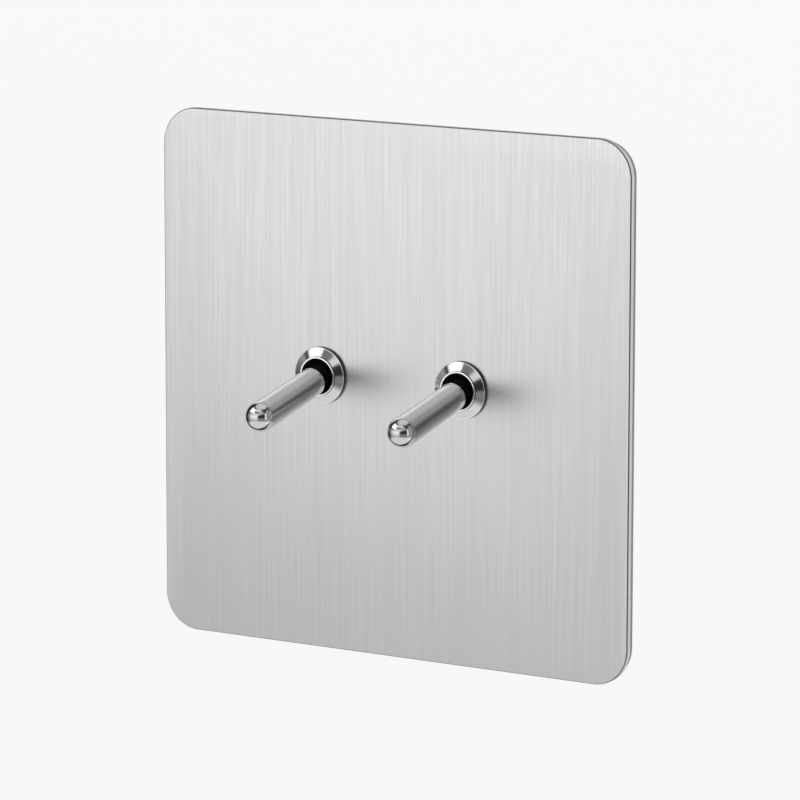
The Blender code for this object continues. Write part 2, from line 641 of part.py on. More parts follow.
def plunger_spring(side, x):
    """Compression coil in the lever's tail, swept as a round wire with closed ends."""
    bm = bmesh.new()
    steps = SPRING_TURNS * SPRING_STEPS
    start = BORE_END + GAP + SPRING_WIRE
    length = SPRING_END - SPRING_WIRE - start
    sections = []
    for step in range(steps + 1):
        angle = 2 * math.pi * SPRING_TURNS * step / steps
        y = start + length * step / steps
        ring = []
        for corner in range(WIRE_SIDES):
            turn = 2 * math.pi * corner / WIRE_SIDES
            radius = SPRING_RADIUS + SPRING_WIRE * math.cos(turn)
            height = y + SPRING_WIRE * math.sin(turn)
            point = (radius * math.cos(angle) * MM, height * MM, radius * math.sin(angle) * MM)
            ring.append(bm.verts.new(point))
        sections.append(ring)
    for first, second in zip(sections, sections[1:]):
        for corner in range(WIRE_SIDES):
            after = (corner + 1) % WIRE_SIDES
            bm.faces.new([first[corner], first[after], second[after], second[corner]])
    bm.faces.new(sections[0])
    bm.faces.new(sections[-1])
    finish(f"{side}_plunger_spring", bm, PLATED, (x, PIVOT_Y, TOGGLE_HEIGHT), (LEVER_TILT, 0, 0), 60)


def rocking_contact(side, x):
    """V-shaped copper blade on a trunnion bar, with a silver rivet in each wing."""
    slope = math.tan(math.radians(WING_ANGLE))
    half = BLADE_THICKNESS / 2 / math.cos(math.radians(WING_ANGLE))
    rise = WING_REACH * slope
    outline = [(-half, 0), (-half - rise, WING_REACH), (half - rise, WING_REACH)]
    outline += [(half, 0), (half - rise, -WING_REACH), (-half - rise, -WING_REACH)]
    place = (x, ROCKER_Y, TOGGLE_HEIGHT)
    span = (-BLADE_WIDTH / 2, BLADE_WIDTH / 2)
    item = extruded(f"{side}_rocking_contact", outline, span, COPPER, place, (-ROCK_TILT, 0, 0))
    bar = [(TRUNNION_RADIUS, -TRUNNION_LENGTH / 2), (TRUNNION_RADIUS, TRUNNION_LENGTH / 2)]
    weld(item, turned(f"{side}_trunnion", bar, COPPER, place, (0, 0, 90), SMALL_SIDES))
    rock = math.radians(-ROCK_TILT)
    hole = [(RIVET_STEM + 0.2, -1), (RIVET_STEM + 0.2, 1)]
    for label, sign in (("lower", -1), ("upper", 1)):
        y = -CONTACT_REACH * slope
        z = sign * CONTACT_REACH
        middle_y = ROCKER_Y + y * math.cos(rock) - z * math.sin(rock)
        middle_z = TOGGLE_HEIGHT + y * math.sin(rock) + z * math.cos(rock)
        middle = (x, middle_y, middle_z)
        turn = (sign * WING_ANGLE - ROCK_TILT, 0, 0)
        cut(item, turned(f"{side}_{label}_blade_hole", hole, COPPER, middle, turn, SMALL_SIDES))
        moving_rivet(f"{side}_{label}_moving_contact", middle, turn)


def moving_rivet(name, middle, rotation):
    """Silver rivet centred on the blade's middle, its contact face to +Y."""
    seat = BLADE_THICKNESS / 2 + GAP
    face = seat + CONTACT_THICKNESS
    profile = [(PEENED_RADIUS - 0.2, -seat - 0.3), (PEENED_RADIUS, -seat - 0.2), (PEENED_RADIUS, -seat)]
    profile += [(RIVET_STEM, -seat), (RIVET_STEM, seat), (CONTACT_RADIUS, seat)]
    profile += [(CONTACT_RADIUS, face - 0.15), (CONTACT_RADIUS - 0.25, face)]
    turned(name, profile, SILVER, middle, rotation, SMALL_SIDES)


def toggle(side, x):
    collar(side, x)
    bushing(side, x)
    bearing_liner(side, x)
    pivot_pin(side, x)
    frame(side, x)
    frame_fasteners(side, x)
    housing(side, x)
    common_terminal(side, x)
    way_terminals(side, x)
    terminal_screws(side, x)
    lever(side, x)
    lever_core(side, x)
    plunger(side, x)
    plunger_spring(side, x)
    rocking_contact(side, x)


def main():
    clear_scene()
    front_plate()
    mounting_plate()
    fixing_screws()
    earth_terminal()
    for side, x in TOGGLE_SIDES.items():
        toggle(side, x)


main()
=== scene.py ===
"""Looks of a two-gang toggle wall switch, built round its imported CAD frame.

The wall plane is y = 0, the front faces -Y and +Z is up. Shape helpers take millimetres and
make meshes in metres. Places come from the frame's boxes and joints.
"""
import json
import math

import bmesh
import bpy
from mathutils import Matrix, Vector

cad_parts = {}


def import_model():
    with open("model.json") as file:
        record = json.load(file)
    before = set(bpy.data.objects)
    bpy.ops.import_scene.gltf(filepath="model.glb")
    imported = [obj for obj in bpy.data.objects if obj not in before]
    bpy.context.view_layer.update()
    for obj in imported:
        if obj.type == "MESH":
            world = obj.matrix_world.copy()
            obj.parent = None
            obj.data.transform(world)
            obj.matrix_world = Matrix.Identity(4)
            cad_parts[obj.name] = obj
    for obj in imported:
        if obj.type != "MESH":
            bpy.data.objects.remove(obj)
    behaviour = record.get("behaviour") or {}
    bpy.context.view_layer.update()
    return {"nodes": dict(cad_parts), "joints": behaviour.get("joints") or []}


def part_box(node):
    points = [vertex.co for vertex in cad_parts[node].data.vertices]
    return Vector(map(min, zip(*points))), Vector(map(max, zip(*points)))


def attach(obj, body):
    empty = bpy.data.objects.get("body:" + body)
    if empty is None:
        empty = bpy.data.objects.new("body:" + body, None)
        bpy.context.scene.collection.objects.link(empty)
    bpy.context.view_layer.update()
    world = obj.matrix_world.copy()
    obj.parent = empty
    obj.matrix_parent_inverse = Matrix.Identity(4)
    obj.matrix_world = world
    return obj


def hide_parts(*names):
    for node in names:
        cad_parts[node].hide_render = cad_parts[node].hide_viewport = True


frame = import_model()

MM = 0.001
NODES = frame["nodes"]
JOINTS = {joint["name"]: joint for joint in frame["joints"]}
SIDES = ("left", "right")
FINE = 96
MEDIUM = 48
ROOT = "switch_body"

# Radii shared by pieces that fit together, in millimetres
THREAD_RADIUS = 3.45
BARREL_HOLE = 3.5
PIN_HOLE = 0.6
RIVET_HOLE = 1.2
FRAME_SCREW_HOLE = 1.3
WIRE_HOLE = 1.7
TERMINAL_SCREW_HOLE = 1.6


def extent(node):
    """A node's lowest and highest corners in millimetres."""
    low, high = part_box(node)
    return Vector(low) / MM, Vector(high) / MM


def toggle_place(side):
    """The toggle's axis on the wall plane, in millimetres."""
    low, high = extent(f"{side}_collar")
    return Vector(((low.x + high.x) / 2, 0, (low.z + high.z) / 2))


def at(location, turn=(0, 0, 0)):
    """Matrix for a piece drawn in millimetres about its own origin, turned in degrees."""
    turns = [Matrix.Rotation(math.radians(a), 4, axis) for a, axis in zip(turn, "XYZ")]
    return Matrix.Translation(Vector(location) * MM) @ turns[2] @ turns[1] @ turns[0]


# Outlines and bodies --------------------------------------------------------

def circle(radius, y, count=MEDIUM):
    angles = [2 * math.pi * step / count for step in range(count)]
    return [(radius * math.cos(a), y, radius * math.sin(a)) for a in angles]


def stadium(radius, half, y, count=MEDIUM):
    """A circle stretched along X by half on each side."""
    points = circle(radius, y, count)
    return [(x + (half if x > 1e-6 else -half), y, z) for x, y, z in points]


def rounded_rectangle(width, height, corner, y, steps=24):
    points = []
    for quarter, (sx, sz) in enumerate([(1, 1), (-1, 1), (-1, -1), (1, -1)]):
        for step in range(steps + 1):
            angle = math.pi / 2 * (quarter + step / steps)
            x = sx * (width / 2 - corner) + corner * math.cos(angle)
            z = sz * (height / 2 - corner) + corner * math.sin(angle)
            points.append((x, y, z))
    return points


def arc(centre, radius, start, end, steps):
    """Points of a profile along an arc, angles in degrees."""
    points = []
    for step in range(steps + 1):
        angle = math.radians(start + (end - start) * step / steps)
        points.append((centre[0] + radius * math.cos(angle), centre[1] + radius * math.sin(angle)))
    return points


def finish(name, bm, matrix, sharp=40.0):
    bmesh.ops.remove_doubles(bm, verts=bm.verts, dist=1e-7)
    bmesh.ops.recalc_face_normals(bm, faces=bm.faces)
    bm.transform(matrix)
    mesh = bpy.data.meshes.new(name)
    bm.to_mesh(mesh)
    bm.free()
    mesh.shade_smooth()
    mesh.set_sharp_from_angle(angle=math.radians(sharp))
    item = bpy.data.objects.new(name, mesh)
    bpy.context.scene.collection.objects.link(item)
    return item


def loft(name, rings, matrix=None, hollow=False, sharp=40.0):
    """Skins successive rings; a hollow loft joins its last ring to its first."""
    bm = bmesh.new()
    loops = [[bm.verts.new(Vector(point) * MM) for point in ring] for ring in rings]
    pairs = list(zip(loops, loops[1:]))
    if hollow:
        pairs.append((loops[-1], loops[0]))
    else:
        bm.faces.new(loops[0])
        bm.faces.new(loops[-1])
    for first, second in pairs:
        for index in range(len(first)):
            after = (index + 1) % len(first)
            bm.faces.new([first[index], first[after], second[after], second[index]])
    return finish(name, bm, matrix or Matrix.Identity(4), sharp)


def turned(name, profile, matrix=None, count=MEDIUM, hollow=False, sharp=40.0):
    """A body turned about the Y axis from (radius, y) points."""
    rings = [circle(radius, y, count) for radius, y in profile]
    return loft(name, rings, matrix, hollow, sharp)


def extruded(name, outline, span, matrix=None):
    """A (y, z) outline extruded along X."""
    return loft(name, [[(x, y, z) for y, z in outline] for x in span], matrix)


def box(name, low, high, matrix=None):
    outline = [(low[1], low[2]), (high[1], low[2]), (high[1], high[2]), (low[1], high[2])]
    return extruded(name, outline, (low[0], high[0]), matrix)


def rounded_block(name, low, high, radius, matrix=None):
    item = box(name, low, high, matrix)
    soften(item, radius, 3)
    return item


def apply_modifiers(item):
    """Keeps the evaluated mesh and drops the modifiers."""
    graph = bpy.context.evaluated_depsgraph_get()
    mesh = bpy.data.meshes.new_from_object(item.evaluated_get(graph))
    item.modifiers.clear()
    item.data = mesh


def boolean(target, tools, operation="DIFFERENCE"):
    for tool in tools:
        modifier = target.modifiers.new(tool.name, "BOOLEAN")
        modifier.operation = operation
        modifier.object = tool
    apply_modifiers(target)
    for tool in tools:
        bpy.data.objects.remove(tool)


def soften(item, width, segments=2, angle=35.0):
    """Rounds the item's sharp edges, width in millimetres."""
    bevel = item.modifiers.new("edges", "BEVEL")
    bevel.width = width * MM
    bevel.segments = segments
    bevel.limit_method = "ANGLE"
    bevel.angle_limit = math.radians(angle)
    bevel.harden_normals = False
    apply_modifiers(item)
    item.data.shade_smooth()
    item.data.set_sharp_from_angle(angle=math.radians(50))


def drill_tool(radius, location, span, along="Y", chamfer=0.0, count=MEDIUM):
    """Round cutter; chamfer widens its ends by that much."""
    turn = {"X": (0, 0, 90), "Y": (0, 0, 0), "Z": (90, 0, 0)}[along]
    half = span / 2
    profile = [(radius, -half), (radius, half)]
    if chamfer:
        past = 0.5
        wide = radius + chamfer + past
        profile = [(wide, -half - past), (radius, -half + chamfer)]
        profile += [(radius, half - chamfer), (wide, half + past)]
    return turned("cutter", profile, at(location, turn), count)


def planar_uv(item):
    """One UV unit per metre, U along X and V along Z, for the grain's direction."""
    layer = item.data.uv_layers.new(name="grain")
    for loop in item.data.loops:
        point = item.data.vertices[loop.vertex_index].co
        layer.data[loop.index].uv = (point.x, point.z)


def place(item, body, slot, material, *nodes):
    """Rides the item on its body, gives it its material, and hides the nodes it stands for; its slot
    argument is not used.
    """
    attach(item, body)
    if nodes:
        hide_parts(*nodes)
    item.data.materials.clear()
    item.data.materials.append(MATERIALS[material])
    return item


# Material helpers -----------------------------------------------------------

EVEN_GRAIN = (900, 900, 900)
BLOTCHES = (220, 220, 220)
GRAIN_DEPTH = 0.00003


class Nodes:
    """A material's node tree with short calls for the nodes used here."""

    def __init__(self, name):
        self.material = bpy.data.materials.new(name)
        self.material.use_nodes = True
        self.tree = self.material.node_tree
        self.shader = self.tree.nodes["Principled BSDF"]

    def node(self, kind, **settings):
        made = self.tree.nodes.new(kind)
        for key, value in settings.items():
            setattr(made, key, value)
        return made

    def link(self, source, target):
        self.tree.links.new(source, target)

    def drive(self, socket, source):
        self.link(source, self.shader.inputs[socket])

    def set(self, **values):
        for key, value in values.items():
            self.shader.inputs[key.replace("_", " ")].default_value = value

    def noise(self, scale, detail=4.0, roughness=0.55, tilt=0.0):
        """Noise over the object's own coordinates, scale in cycles per metre along X, Y and Z."""
        where = self.node("ShaderNodeTexCoord")
        mapping = self.node("ShaderNodeMapping", vector_type="TEXTURE")
        mapping.inputs["Rotation"].default_value = (math.radians(tilt), 0, 0)
        mapping.inputs["Scale"].default_value = [1 / value for value in scale]
        self.link(where.outputs["Object"], mapping.inputs["Vector"])
        texture = self.node("ShaderNodeTexNoise")
        texture.inputs["Scale"].default_value = 1.0
        texture.inputs["Detail"].default_value = detail
        texture.inputs["Roughness"].default_value = roughness
        self.link(mapping.outputs["Vector"], texture.inputs["Vector"])
        return texture.outputs["Fac"]

    def axis(self, kind, letter, low, high, factor=None):
        """One coordinate of the object's place or normal, as 0 at low to 1 at high, times a factor."""
        where = self.node("ShaderNodeTexCoord")
        split = self.node("ShaderNodeSeparateXYZ")
        self.link(where.outputs[kind], split.inputs["Vector"])
        share = self.remap(split.outputs[letter], low, high, 0.0, 1.0)
        return self.math("MULTIPLY", share, factor) if factor else share

    def remap(self, value, low, high, to_low, to_high):
        node = self.node("ShaderNodeMapRange")
        keys = ("From Min", "From Max", "To Min", "To Max")
        for key, number in zip(keys, (low, high, to_low, to_high)):
            node.inputs[key].default_value = number
        self.link(value, node.inputs["Value"])
        return node.outputs["Result"]

    def math(self, operation, first, second):
        node = self.node("ShaderNodeMath", operation=operation)
        for socket, value in zip(node.inputs, (first, second)):
            if isinstance(value, (int, float)):
                socket.default_value = value
            else:
                self.link(value, socket)
        return node.outputs["Value"]

    def mix(self, factor, first, second):
        node = self.node("ShaderNodeMix", data_type="RGBA")
        self.link(factor, node.inputs["Factor"])
        for key, value in (("A", first), ("B", second)):
            socket = [s for s in node.inputs if s.name == key and s.type == "RGBA"][0]
            if isinstance(value, tuple):
                socket.default_value = (*value, 1.0)
            else:
                self.link(value, socket)
        return [s for s in node.outputs if s.type == "RGBA"][0]

    def bump(self, height, strength, distance):
        node = self.node("ShaderNodeBump")
        node.inputs["Strength"].default_value = strength
        node.inputs["Distance"].default_value = distance
        self.link(height, node.inputs["Height"])
        self.drive("Normal", node.outputs["Normal"])

    def worn_edges(self, colour, bright, amount):
        """Lightens the colour along convex edges."""
        geometry = self.node("ShaderNodeNewGeometry")
        edge = self.remap(geometry.outputs["Pointiness"], 0.52, 0.60, 0.0, amount)
        return self.mix(edge, colour, bright)


def brushed_plate_steel():
    """Satin stainless steel with a vertical grain, a few painted white glints near the top right and
    painted shade along the arris.
    """
    n = Nodes("brushed_plate_steel")
    n.set(Metallic=1.0, Anisotropic=0.5)
    fine = n.noise((6400, 6400, 48), 1.0, 0.5)
    wide = n.noise((2400, 2400, 18), 2.0, 0.5)
    glint_noise = n.noise((3800, 3800, 220), 2.0, 0.5)
    streaks = n.math("ADD", n.math("MULTIPLY", fine, 0.85), n.math("MULTIPLY", wide, 0.15))
    colour = n.mix(n.remap(streaks, 0.36, 0.64, 0.0, 1.0), (0.752, 0.752, 0.755), (0.812, 0.812, 0.812))
    # Painted glints: short white vertical dashes, only in the top-right corner, stand in for light
    # glinting there
    corner = n.axis("Object", "X", 0.0, 0.045, n.axis("Object", "Z", 0.005, 0.045))
    painted_glint = n.math("MULTIPLY", n.remap(glint_noise, 0.66, 0.72, 0.0, 1.0), corner)
    colour = n.mix(painted_glint, colour, (1.0, 1.0, 1.0))
    # Painted shade: faces between the side and the front face, round the arris, are painted dark grey
    forward = n.axis("Normal", "Y", 0.0, -1.0)
    past_side = n.remap(forward, 0.1, 0.3, 0.0, 1.0)
    before_face = n.remap(forward, 0.90, 0.98, 1.0, 0.0)
    arris = n.math("MULTIPLY", past_side, before_face)
    n.drive("Base Color", n.mix(arris, colour, (0.16, 0.16, 0.16)))
    n.drive("Roughness", n.remap(streaks, 0.3, 0.7, 0.34, 0.28))
    n.bump(streaks, 0.05, GRAIN_DEPTH)
    tangent = n.node("ShaderNodeTangent", direction_type="UV_MAP", uv_map="grain")
    n.drive("Tangent", tangent.outputs["Tangent"])
    return n.material


def satin_metal(name, colour, roughness, grain=EVEN_GRAIN, spread=0.08, tint=0.06, tilt=0.0, wear=0.5):
    """Metal with a fine grain, soft blotches, slightly varied gloss and brighter edges."""
    n = Nodes(name)
    n.set(Metallic=1.0)
    fine = n.noise(grain, 3.0, 0.5, tilt)
    blotch = n.noise(BLOTCHES, 3.0, 0.5)
    dark = tuple(c * (1 - tint) for c in colour)
    light = tuple(min(1.0, c * (1 + tint)) for c in colour)
    base = n.mix(n.remap(blotch, 0.3, 0.7, 0.0, 1.0), dark, light)
    if wear:
        base = n.worn_edges(base, tuple(min(1.0, c * 1.2) for c in colour), wear)
    n.drive("Base Color", base)
    n.drive("Roughness", n.remap(fine, 0.3, 0.7, roughness - spread / 2, roughness + spread / 2))
    n.bump(fine, 0.03, GRAIN_DEPTH)
    return n.material


def back_steel_with_painted_edge_shade():
    """Zinc-plated sheet with soft blotches; its side faces are painted dark as shade along its edge."""
    n = Nodes("zinc_plated_sheet")
    n.set(Metallic=1.0)
    fine = n.noise(EVEN_GRAIN, 3.0, 0.5)
    blotch = n.noise(BLOTCHES, 3.0, 0.5)
    base = n.mix(n.remap(blotch, 0.3, 0.7, 0.0, 1.0), (0.52, 0.54, 0.56), (0.64, 0.66, 0.68))
    forward = n.axis("Normal", "Y", 0.0, -1.0)
    backward = n.axis("Normal", "Y", 0.0, 1.0)
    # Painted shade: faces that look neither forward nor back get a dark grey
    flat = n.remap(n.math("MAXIMUM", forward, backward), 0.3, 0.8, 0.0, 1.0)
    n.drive("Base Color", n.mix(flat, (0.30, 0.30, 0.31), base))
    n.drive("Roughness", n.remap(fine, 0.3, 0.7, 0.30, 0.42))
    n.bump(fine, 0.03, GRAIN_DEPTH)
    return n.material


def turned_collar_steel():
    """Polished steel with faint turning marks, a painted highlight on the lip's face and painted shade on
    the rim's side.
    """
    n = Nodes("turned_collar_steel")
    n.set(Metallic=1.0)
    marks = n.noise((2500, 2500, 2500), 2.0, 0.5)
    forward = n.axis("Normal", "Y", 0.0, -1.0)
    base = n.mix(n.remap(marks, 0.3, 0.7, 0.0, 1.0), (0.60, 0.60, 0.60), (0.66, 0.66, 0.66))
    # Painted shade: faces turned away from the front are painted near-black
    base = n.mix(n.remap(forward, 0.2, 0.6, 0.0, 1.0), (0.07, 0.07, 0.07), base)
    # Painted highlight: faces looking straight forward, the lip's face, are painted near-white
    n.drive("Base Color", n.mix(n.remap(forward, 0.90, 0.96, 0.0, 1.0), base, (0.98, 0.98, 0.98)))
    n.drive("Roughness", n.remap(marks, 0.3, 0.7, 0.08, 0.12))
    n.bump(marks, 0.02, GRAIN_DEPTH)
    return n.material


def moulded_plastic(name, colour, roughness, gloss=0.5):
    """Moulded plastic with a fine spark-eroded grain and faint flow marks."""
    n = Nodes(name)
    n.set(Specular_IOR_Level=gloss)
    grain = n.noise((5200, 5200, 5200), 2.0, 0.5)
    flow = n.noise((140, 90, 260), 3.0, 0.5)
    light = tuple(c * 1.6 + 0.001 for c in colour)
    base = n.mix(n.remap(flow, 0.3, 0.7, 0.0, 1.0), colour, light)
    n.drive("Base Color", n.worn_edges(base, tuple(c * 2 + 0.002 for c in colour), 0.4))
    n.drive("Roughness", n.remap(grain, 0.3, 0.7, roughness - 0.06, roughness + 0.08))
    n.bump(grain, 0.15, GRAIN_DEPTH)
    return n.material


LENGTHWISE_GRAIN = (3600, 160, 3600)
MATERIALS = {
    "plate": brushed_plate_steel(),
    "collar": turned_collar_steel(),
    "lever": satin_metal("satin_lever_steel", (0.70, 0.70, 0.70), 0.16, grain=LENGTHWISE_GRAIN,
                         spread=0.06, tilt=12.0, wear=0),
    "back_plate": back_steel_with_painted_edge_shade(),
    "plated": satin_metal("zinc_plated_steel", (0.58, 0.60, 0.62), 0.36, spread=0.12, tint=0.10),
    "screw": satin_metal("bright_zinc", (0.62, 0.64, 0.66), 0.25, spread=0.12, tint=0.10),
    # Painted shade: this brass is coloured near-black so the shade deep in the barrel's bore reads black
    "bore_shade_dark": satin_metal("blackened_brass", (0.012, 0.012, 0.012), 0.45),
    "brass": satin_metal("machined_brass", (0.78, 0.58, 0.26), 0.28, tint=0.08),
    "copper": satin_metal("copper_strip", (0.80, 0.45, 0.30), 0.28, tint=0.08),
    "silver": satin_metal("silver_contact", (0.88, 0.87, 0.84), 0.22),
    "spring": satin_metal("spring_wire", (0.45, 0.45, 0.46), 0.22),
    "liner": moulded_plastic("black_nylon", (0.002, 0.002, 0.002), 0.75, gloss=0.12),
    "phenolic": moulded_plastic("black_phenolic", (0.016, 0.016, 0.018), 0.36),
    "plunger": moulded_plastic("natural_nylon", (0.62, 0.60, 0.54), 0.40),
}


# Plates ---------------------------------------------------------------------

PLATE_CORNER = 6.0
BACK_CORNER = 5.6
RIM_WIDTH = 5.05
RECESS_DEPTH = 0.3


def edge_round(size, corner, y, toward, radius, steps=4):
    """Rings that round a square plate's edge between its side and its face at y."""
    rings = []
    for step in range(steps + 1):
        angle = math.pi / 2 * step / steps
        inset = radius * (1 - math.cos(angle))
        level = y - toward * radius * (1 - math.sin(angle))
        width = size - 2 * inset
        rings.append(rounded_rectangle(width, width, corner - inset, level))
    return rings


def front_plate():
    """Flat plate with rounded corners, a small round arris and a hole for each toggle."""
    low, high = extent("front_plate")
    size = high.x - low.x
    rear = edge_round(size, PLATE_CORNER, high.y, 1, 0.08, 2)
    front = edge_round(size, PLATE_CORNER, low.y, -1, 0.2)
    plate = loft("brushed_front_plate", rear[::-1] + front, sharp=30)
    tools = []
    for side in SIDES:
        x, _, z = toggle_place(side)
        tools.append(drill_tool(BARREL_HOLE, (x, low.y, z), 8))
    boolean(plate, tools)
    plate.data.set_sharp_from_angle(angle=math.radians(30))
    planar_uv(plate)
    place(plate, ROOT, "brushed_steel", "plate", "front_plate")


def screw_places():
    """Where small countersunk screws pass the mounting plate: node name and (x, z)."""
    names = ["earth_fixing_screw"]
    names += [f"{side}_frame_screw_{end}" for side in SIDES for end in ("lower", "upper")]
    places = {}
    for name in names:
        low, high = extent(name)
        places[name] = ((low.x + high.x) / 2, (low.z + high.z) / 2)
    return places


def mounting_plate():
    """Pressed back plate: flat rim, shallow recess, two dimpled fixings and countersunk screw holes."""
    plate_low, _ = extent("mounting_plate")
    size = -2 * plate_low.x
    front, rear = plate_low.y, 0.0
    rings = edge_round(size, BACK_CORNER, rear, 1, 0.25)[::-1]
    rings += edge_round(size, BACK_CORNER, front, -1, 0.25)
    plate = loft("pressed_back_plate", rings)
    inside = size - 2 * RIM_WIDTH
    levels = [(-RECESS_DEPTH, -0.3, 1.4), (-0.12, -0.1, 1.5), (0.0, 0.1, 1.7), (1.0, 0.1, 1.7)]
    recess = []
    for y, grow, corner in levels:
        recess.append(rounded_rectangle(inside + grow, inside + grow, corner, y, 8))
    boolean(plate, [loft("cutter", recess)])
    welds, cuts = [], []
    dimple = [(5.3, -0.7), (5.25, -0.31), (4.95, -0.15), (4.65, 0.25)]
    dimple += [(4.1, 1.1), (3.75, 1.55), (3.5, 1.7)]
    seat = [(5.15, -2.3), (2.35, 0.5), (2.25, 0.65), (2.25, 3.0)]
    for name, half in (("fixing_screw_left", 0.0), ("fixing_screw_right", 1.5)):
        screw_low, screw_high = extent(name)
        centre = at(((screw_low.x + screw_high.x) / 2, 0, 0))
        welds.append(loft("dimple", [stadium(r, half, y) for r, y in dimple], centre))
        cuts.append(loft("seat", [stadium(r, half, y) for r, y in seat], centre))
    for side in SIDES:
        x, _, z = toggle_place(side)
        cuts.append(drill_tool(BARREL_HOLE, (x, 0, z), 6))
    for x, z in screw_places().values():
        profile = [(2.85, -1.9), (FRAME_SCREW_HOLE, -0.35), (FRAME_SCREW_HOLE, 2.0)]
        cuts.append(turned("seat", profile, at((x, 0, z))))
    boolean(plate, welds, "UNION")
    boolean(plate, cuts)
    plate.data.set_sharp_from_angle(angle=math.radians(30))
    place(plate, ROOT, "plated_steel", "back_plate", "mounting_plate")


# Fasteners ------------------------------------------------------------------

def thread_rings(radius, depth, pitch, start, end, count=32, steps=8):
    """Rings of a helical V thread between y = start and y = end, run out at its far end."""
    rings = []
    total = max(2, int(abs(end - start) / pitch * steps))
    for step in range(total + 1):
        y = start + (end - start) * step / total
        fade = min(1.0, (total - step) / (1.5 * steps))
        ring = []
        for corner in range(count):
            angle = 2 * math.pi * corner / count
            phase = (y / pitch - corner / count) % 1.0
            ridge = abs(2 * phase - 1)
            reach = (radius - depth * (1 - fade)) - depth * ridge * fade
            ring.append((reach * math.cos(angle), y, reach * math.sin(angle)))
        rings.append(ring)
    return rings


def slotted(item, head, depth, matrix):
    """Driver slot with eased corners along its floor."""
    half = head / 6
    outline = [(-1.0, -half), (depth - 0.1, -half), (depth, -half + 0.1)]
    outline += [(depth, half - 0.1), (depth - 0.1, half), (-1.0, half)]
    boolean(item, [extruded("slot", outline, (-head * 1.2, head * 1.2), matrix)])
    item.data.set_sharp_from_angle(angle=math.radians(35))


def threaded_screw(node, head_profile, shank, pitch, slot_depth, facing):
    """Screw along Y with a turned head, a helical thread and a slot; facing is its head's side."""
    low, high = extent(node)
    length = high.y - low.y
    centre = ((low.x + high.x) / 2, low.y if facing < 0 else high.y, (low.z + high.z) / 2)
    matrix = at(centre, (0, 0, 0) if facing < 0 else (0, 0, 180))
    count = 32
    head = [circle(radius, y, count) for radius, y in head_profile]
    neck = head_profile[-1][1]
    thread = thread_rings(shank, pitch * 0.5, pitch, neck + 0.05, length - 0.3, count)
    point = [circle(shank * 0.55, length - 0.02, count), circle(shank * 0.3, length, count)]
    item = loft(f"{node}_piece", head + thread + point, matrix, sharp=35)
    slotted(item, head_profile[1][0], slot_depth, matrix)
    place(item, ROOT, "screw_steel", "screw", node)


def countersunk_profile(head, shank):
    top = [(head - 0.35, 0.0), (head - 0.12, 0.04), (head, 0.15)]
    return top + [(head - 0.02, 0.25), (shank, head - shank + 0.25)]


def cheese_profile(head, height, shank):
    top = [(head - 0.3, 0.0)] + arc((head - 0.25, 0.25), 0.25, -90, 0, 4)
    return top + [(head, height - 0.06), (head - 0.06, height), (shank, height)]


def fasteners():
    for side in SIDES:
        threaded_screw(f"fixing_screw_{side}", countersunk_profile(3.45, 1.65), 1.65, 0.6, 0.9, -1)
    for node in screw_places():
        threaded_screw(node, countersunk_profile(1.7, 1.0), 1.0, 0.4, 0.4, -1)
    terminal_screws = ["earth_terminal_screw"]
    for side in SIDES:
        terminal_screws += [f"{side}_{end}_terminal_screw" for end in ("lower", "common", "upper")]
    for node in terminal_screws:
        threaded_screw(node, cheese_profile(2.1, 1.5, 1.3), 1.3, 0.5, 0.8, 1)
    for side in SIDES:
        for label, sign in (("a", -1), ("b", 1)):
            frame_rivet(side, label, sign)


def frame_rivet(side, label, sign):
    """Domed rivet through a frame leg, its head outwards along X."""
    node = f"{side}_frame_rivet_{label}"
    low, high = extent(node)
    outer = high.x if sign > 0 else low.x
    matrix = at((outer, (low.y + high.y) / 2, (low.z + high.z) / 2), (0, 0, 90 * sign))
    head, rise, shank = 1.7, 0.8, 0.9
    dome = [(0.0, 0.0)]
    for angle in [math.radians(degrees) for degrees in range(10, 91, 10)]:
        dome.append((head * math.sin(angle), rise * (1 - math.cos(angle))))
    profile = dome + [(head, rise + 0.1), (shank, rise + 0.1), (shank, 4.1), (shank - 0.3, 4.4)]
    item = turned(f"{node}_piece", profile, matrix, 40)
    place(item, ROOT, "screw_steel", "screw", node)


# Earth terminal -------------------------------------------------------------

def earth_terminal():
    """Sawn brass block with chamfered wire and screw holes."""
    low, high = extent("earth_terminal")
    block = rounded_block("earth_terminal_block", low, high, 0.25)
    middle = (low + high) / 2
    fixing = screw_places()["earth_fixing_screw"]
    tools = [
        drill_tool(WIRE_HOLE, (middle.x, low.y + 4.0, middle.z), high.x - low.x, "X", 0.25),
        drill_tool(TERMINAL_SCREW_HOLE, (middle.x, high.y, middle.z), 6.4),
        drill_tool(TERMINAL_SCREW_HOLE, (fixing[0], low.y, fixing[1]), 6.4),
    ]
    boolean(block, tools)
    block.data.set_sharp_from_angle(angle=math.radians(35))
    place(block, ROOT, "brass", "brass", "earth_terminal")


# Toggles: pieces that stay with the plate -----------------------------------

# Rings down the collar's flank; those close to its ends keep its shading flat
FLANK = (0.0, 0.04, 0.96, 1.0)


